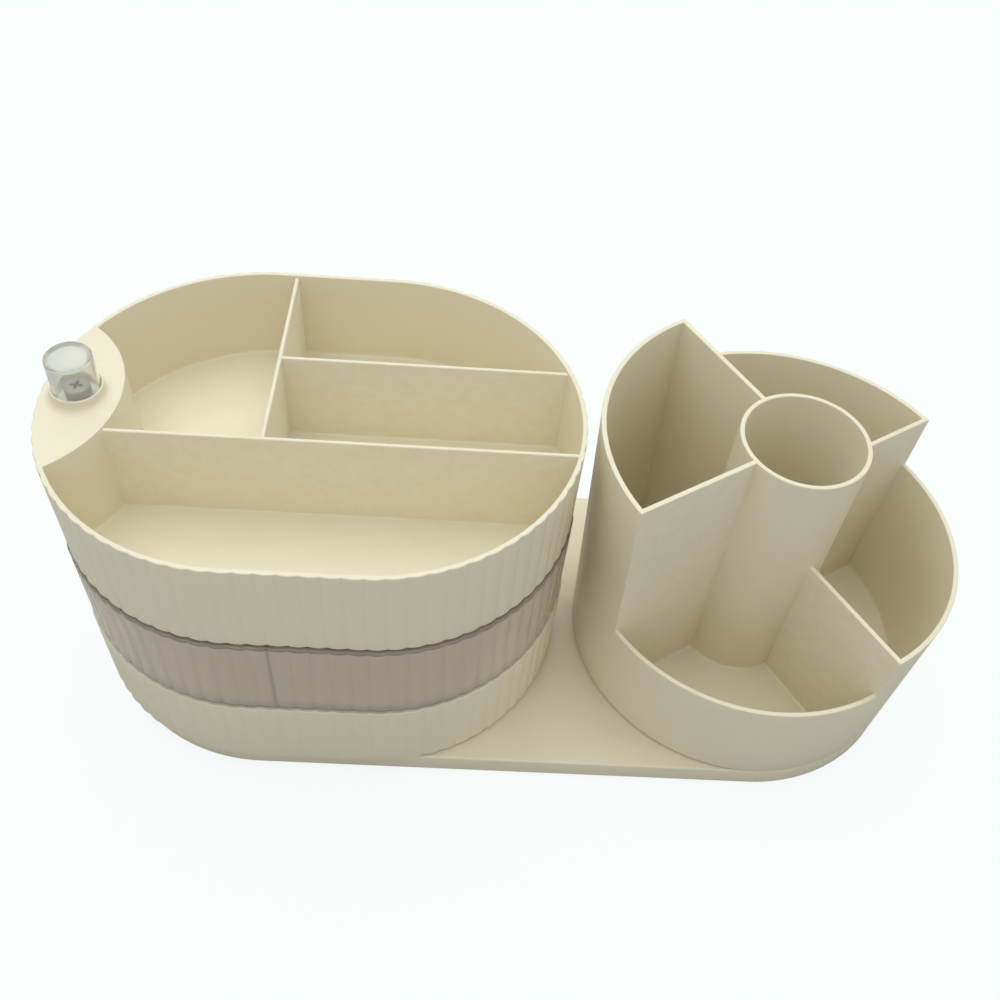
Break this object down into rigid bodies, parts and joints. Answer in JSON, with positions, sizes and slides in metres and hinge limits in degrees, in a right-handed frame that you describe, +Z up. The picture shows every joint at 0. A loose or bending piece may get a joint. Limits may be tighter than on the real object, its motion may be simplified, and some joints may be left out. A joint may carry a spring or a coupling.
{
  "type": "makeup organizer",
  "caption": "Long desk organizer with oval trays that swing out on a corner rod beside a round stepped brush holder that turns.",
  "frame": {"origin": "on the table, under the middle of the organizer's bounding box", "axes": "+X along the base from the trays to the brush holder, +Y to the back, +Z up"},
  "size_m": [0.3339, 0.144, 0.145],
  "materials": {
    "cream_plastic": "smooth moulded cream plastic, satin to semi-gloss",
    "clear_plastic": "clear polystyrene, polished",
    "cap_clear": "clear moulded cap, polished",
    "rod_steel": "ground steel",
    "zinc_steel": "zinc-plated steel",
    "dark_screw": "dark phosphated steel",
    "washer_plastic": "natural acetal",
    "foot_rubber": "soft black rubber"
  },
  "bodies": {
    "base": {"base_plate": "cream_plastic", "rubber_feet": "foot_rubber", "pivot_rod": "rod_steel", "rod_washer": "zinc_steel", "rod_nut": "zinc_steel", "tray_washers": "washer_plastic", "top_washer": "zinc_steel", "top_screw": "dark_screw", "lower_race": "rod_steel", "spindle_bolt": "zinc_steel", "spindle_washer": "zinc_steel", "spindle_nut": "zinc_steel"},
    "bottom_tray": {"bottom_tray": "cream_plastic"},
    "middle_tray": {"middle_tray": "clear_plastic"},
    "top_tray": {"top_tray": "cream_plastic", "pivot_cap": "cap_clear"},
    "holder": {"back_quarter": "cream_plastic", "tall_quarter": "cream_plastic", "front_quarter": "cream_plastic", "right_quarter": "cream_plastic", "brush_tube": "cream_plastic", "upper_race": "rod_steel"},
    "cage": {"ball_cage": "washer_plastic", "bearing_balls": "rod_steel"}
  },
  "joints": [
    {"name": "bottom_tray_swing", "type": "hinge", "parent": "base", "child": "bottom_tray", "pos_m": [-0.15388, 0, 0], "axis": [0, 0, 1], "continuous": true},
    {"name": "middle_tray_swing", "type": "hinge", "parent": "base", "child": "middle_tray", "pos_m": [-0.15388, 0, 0], "axis": [0, 0, 1], "continuous": true},
    {"name": "top_tray_swing", "type": "hinge", "parent": "base", "child": "top_tray", "pos_m": [-0.15388, 0, 0], "axis": [0, 0, 1], "continuous": true},
    {"name": "holder_spin", "type": "hinge", "parent": "base", "child": "holder", "pos_m": [0.09637, 0, 0], "axis": [0, 0, 1], "continuous": true},
    {"name": "cage_spin", "type": "hinge", "parent": "base", "child": "cage", "pos_m": [0.09637, 0, 0], "axis": [0, 0, 1], "continuous": true}
  ],
  "couplings": [
    {"joint": "cage_spin", "follows": "holder_spin", "ratio": 0.5}
  ]
}
